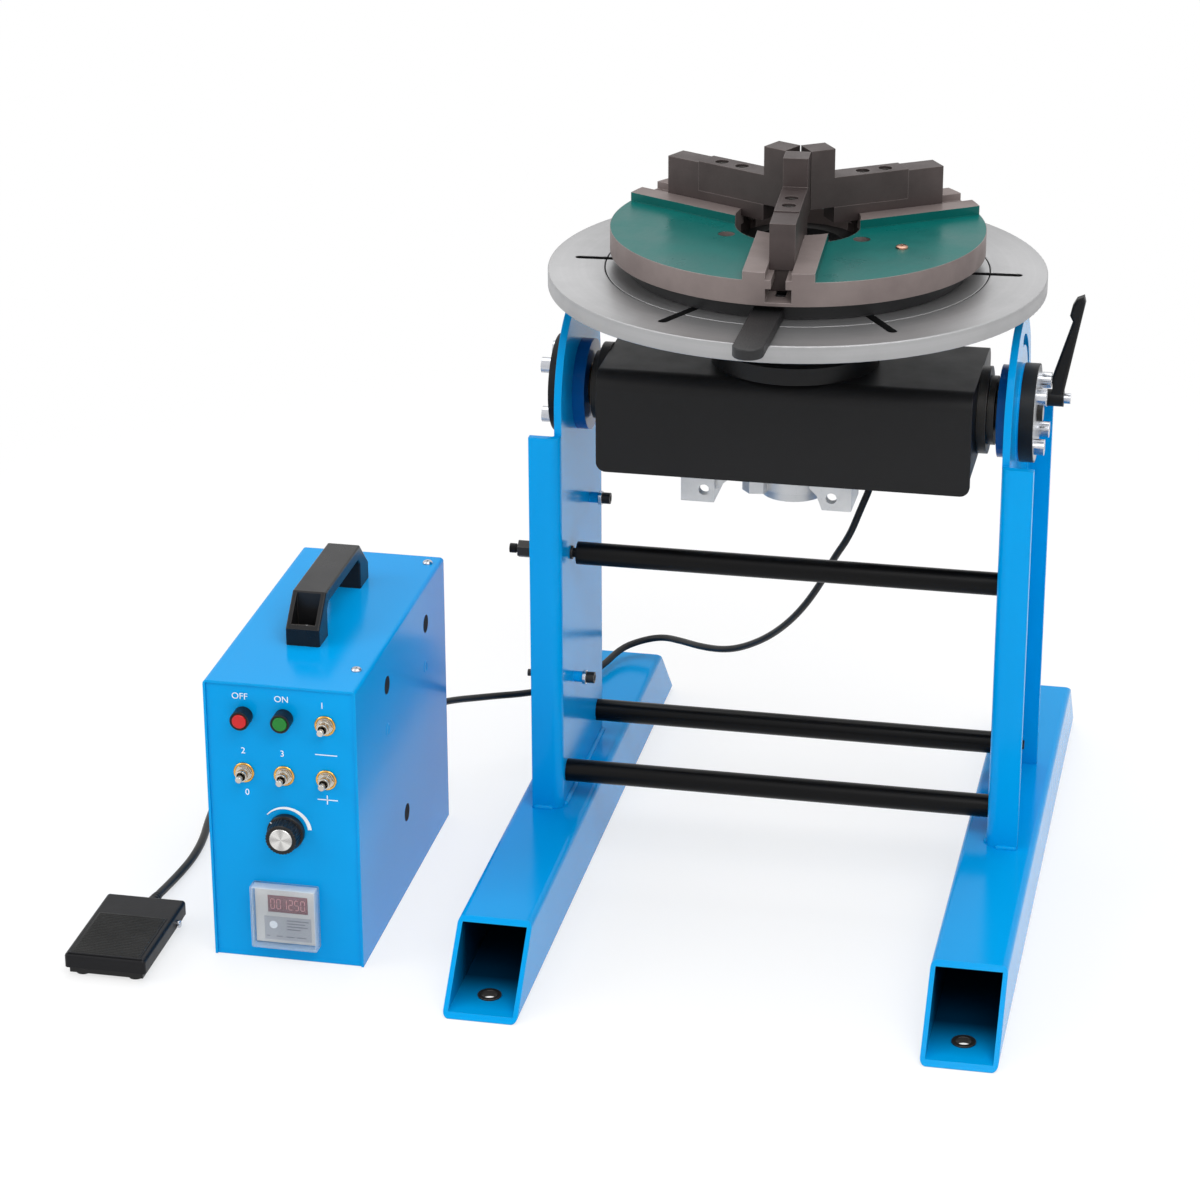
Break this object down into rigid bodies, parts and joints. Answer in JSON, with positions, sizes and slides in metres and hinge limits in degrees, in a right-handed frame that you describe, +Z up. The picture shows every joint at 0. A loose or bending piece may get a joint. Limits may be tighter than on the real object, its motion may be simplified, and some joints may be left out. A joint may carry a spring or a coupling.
{
  "type": "welding positioner",
  "caption": "Benchtop welding positioner: motor-driven turntable with a self-centring scroll chuck on a tilting head between two posts, with wired control box and foot switch.",
  "frame": {"origin": "floor level, centre of the four floor bolt holes in the feet", "axes": "+X along the tilt axis towards the clamp lever, +Y away from the operator, +Z up; the head is level at rest"},
  "size_m": [0.7584, 0.656, 0.6165],
  "materials": {
    "blue_paint": "gloss powder coat",
    "deep_blue_paint": "gloss powder coat",
    "black_paint": "satin powder coat",
    "bar_black": "smooth black paint",
    "black_steel": "black oxide",
    "zinc_steel": "bright zinc",
    "bare_steel": "turned",
    "faceplate_steel": "turned and brushed",
    "chuck_iron": "green enamel with bare machined rails and rim",
    "jaw_steel": "ground, darkened",
    "scroll_iron": "machined",
    "cast_alloy": "bead blasted casting",
    "bronze": "machined",
    "motor_black": "matt",
    "black_plastic": "moulded",
    "handle_plastic": "moulded",
    "rubber": "moulded",
    "cord_rubber": "smooth sheath",
    "red_plastic": "moulded",
    "green_plastic": "moulded",
    "knob_plastic": "moulded, bright cap",
    "nickel": "plated",
    "counter_plastic": "moulded",
    "clear_plastic": "clear moulded",
    "circuit_board": "laminate",
    "tread_black": "ribbed"
  },
  "bodies": {
    "stand": {"foot_tubes": "blue_paint", "foot_bushes": "black_steel", "left_post": "blue_paint", "right_post": "blue_paint", "crossbars": "bar_black", "crossbar_nuts": "black_steel", "boss_screws": "black_steel", "bearing_housings": "deep_blue_paint", "bearing_caps": "black_paint", "cap_screws": "zinc_steel", "trunnion_bushes": "bronze", "box_cover": "blue_paint", "box_chassis": "blue_paint", "carry_handle": "handle_plastic", "button_bezels": "black_plastic", "switch_bodies": "nickel", "counter": "counter_plastic", "counter_cover": "clear_plastic", "driver_board": "circuit_board", "back_fittings": "black_plastic", "pedal_base": "black_plastic", "pedal_pin": "zinc_steel", "pedal_feet": "rubber", "pedal_switch": "black_plastic", "motor_cable": "cord_rubber", "pedal_cable": "cord_rubber"},
    "head": {"head_hood": "black_paint", "head_bridge": "black_paint", "trunnions": "black_steel", "spindle_housing": "black_paint", "spindle_bearings": "bare_steel", "gearbox_case": "cast_alloy", "drive_motor": "motor_black", "clamp_block": "black_steel", "clamp_stud": "zinc_steel"},
    "clamp": {"clamp_lever": "black_paint"},
    "worm": {"worm_shaft": "bare_steel"},
    "table": {"faceplate": "faceplate_steel", "spindle": "bare_steel", "faceplate_screws": "black_steel", "worm_wheel": "bronze", "chuck_spacer": "bare_steel", "chuck_body": "chuck_iron", "dust_ring": "rubber"},
    "scroll": {"scroll_ring": "scroll_iron", "scroll_lever": "scroll_iron"},
    "jaw_1": {"jaw_slide_1": "jaw_steel", "jaw_top_1": "jaw_steel"},
    "jaw_2": {"jaw_slide_2": "jaw_steel", "jaw_top_2": "jaw_steel"},
    "jaw_3": {"jaw_slide_3": "jaw_steel", "jaw_top_3": "jaw_steel"},
    "stop_button": {"red_button": "red_plastic"},
    "start_button": {"green_button": "green_plastic"},
    "toggle_1": {"toggle_lever_1": "nickel"},
    "toggle_2": {"toggle_lever_2": "nickel"},
    "toggle_3": {"toggle_lever_3": "nickel"},
    "toggle_4": {"toggle_lever_4": "nickel"},
    "knob": {"speed_knob": "knob_plastic"},
    "pedal": {"pedal_tread": "tread_black"}
  },
  "joints": [
    {"name": "tilt", "type": "hinge", "parent": "stand", "child": "head", "pos_m": [0, 0.0195, 0.4085], "axis": [1, 0, 0], "range_deg": [0, 90], "deforming": ["motor_cable"]},
    {"name": "clamp_turn", "type": "hinge", "parent": "head", "child": "clamp", "pos_m": [0.2066, 0.07771, 0.40176], "axis": [1, 0, 0], "range_deg": [-75, 60]},
    {"name": "table_spin", "type": "hinge", "parent": "head", "child": "table", "pos_m": [0, 0.0195, 0.5129], "axis": [0, 0, 1], "continuous": true},
    {"name": "worm_spin", "type": "hinge", "parent": "head", "child": "worm", "pos_m": [0, 0.0575, 0.384], "axis": [1, 0, 0], "continuous": true},
    {"name": "scroll_turn", "type": "hinge", "parent": "table", "child": "scroll", "pos_m": [0, 0.0195, 0.5272], "axis": [0, 0, 1], "range_deg": [0, 1800]},
    {"name": "jaw_travel_1", "type": "slide", "parent": "table", "child": "jaw_1", "axis": [0.0558, -0.9984, 0], "range_m": [0, 0.04]},
    {"name": "jaw_travel_2", "type": "slide", "parent": "table", "child": "jaw_2", "axis": [0.8368, 0.5476, 0], "range_m": [0, 0.04]},
    {"name": "jaw_travel_3", "type": "slide", "parent": "table", "child": "jaw_3", "axis": [-0.8926, 0.4509, 0], "range_m": [0, 0.04]},
    {"name": "stop_press", "type": "slide", "parent": "stand", "child": "stop_button", "axis": [0, 1, 0], "range_m": [0, 0.003], "stiffness_N_per_m": 600, "springref_m": -0.001},
    {"name": "start_press", "type": "slide", "parent": "stand", "child": "start_button", "axis": [0, 1, 0], "range_m": [0, 0.003], "stiffness_N_per_m": 600, "springref_m": -0.001},
    {"name": "toggle_flip_1", "type": "hinge", "parent": "stand", "child": "toggle_1", "pos_m": [-0.3245, -0.263, 0.2105], "axis": [1, 0, 0], "range_deg": [-13, 13]},
    {"name": "toggle_flip_2", "type": "hinge", "parent": "stand", "child": "toggle_2", "pos_m": [-0.3925, -0.263, 0.164], "axis": [1, 0, 0], "range_deg": [-13, 13]},
    {"name": "toggle_flip_3", "type": "hinge", "parent": "stand", "child": "toggle_3", "pos_m": [-0.3595, -0.263, 0.164], "axis": [1, 0, 0], "range_deg": [-13, 13]},
    {"name": "toggle_flip_4", "type": "hinge", "parent": "stand", "child": "toggle_4", "pos_m": [-0.325, -0.263, 0.1635], "axis": [1, 0, 0], "range_deg": [-13, 13]},
    {"name": "knob_turn", "type": "hinge", "parent": "stand", "child": "knob", "pos_m": [-0.359, -0.27, 0.116], "axis": [0, 1, 0], "range_deg": [-150, 150]},
    {"name": "pedal_press", "type": "hinge", "parent": "stand", "child": "pedal", "pos_m": [-0.4957, -0.238, 0.011], "axis": [1, 0, 0], "range_deg": [0, 4], "stiffness_Nm_per_rad": 4, "springref_deg": -3.44}
  ],
  "couplings": [
    {"joint": "worm_spin", "follows": "table_spin", "ratio": 30},
    {"joint": "jaw_travel_1", "follows": "scroll_turn", "m_per_rad": 0.0012732},
    {"joint": "jaw_travel_2", "follows": "scroll_turn", "m_per_rad": 0.0012732},
    {"joint": "jaw_travel_3", "follows": "scroll_turn", "m_per_rad": 0.0012732}
  ]
}
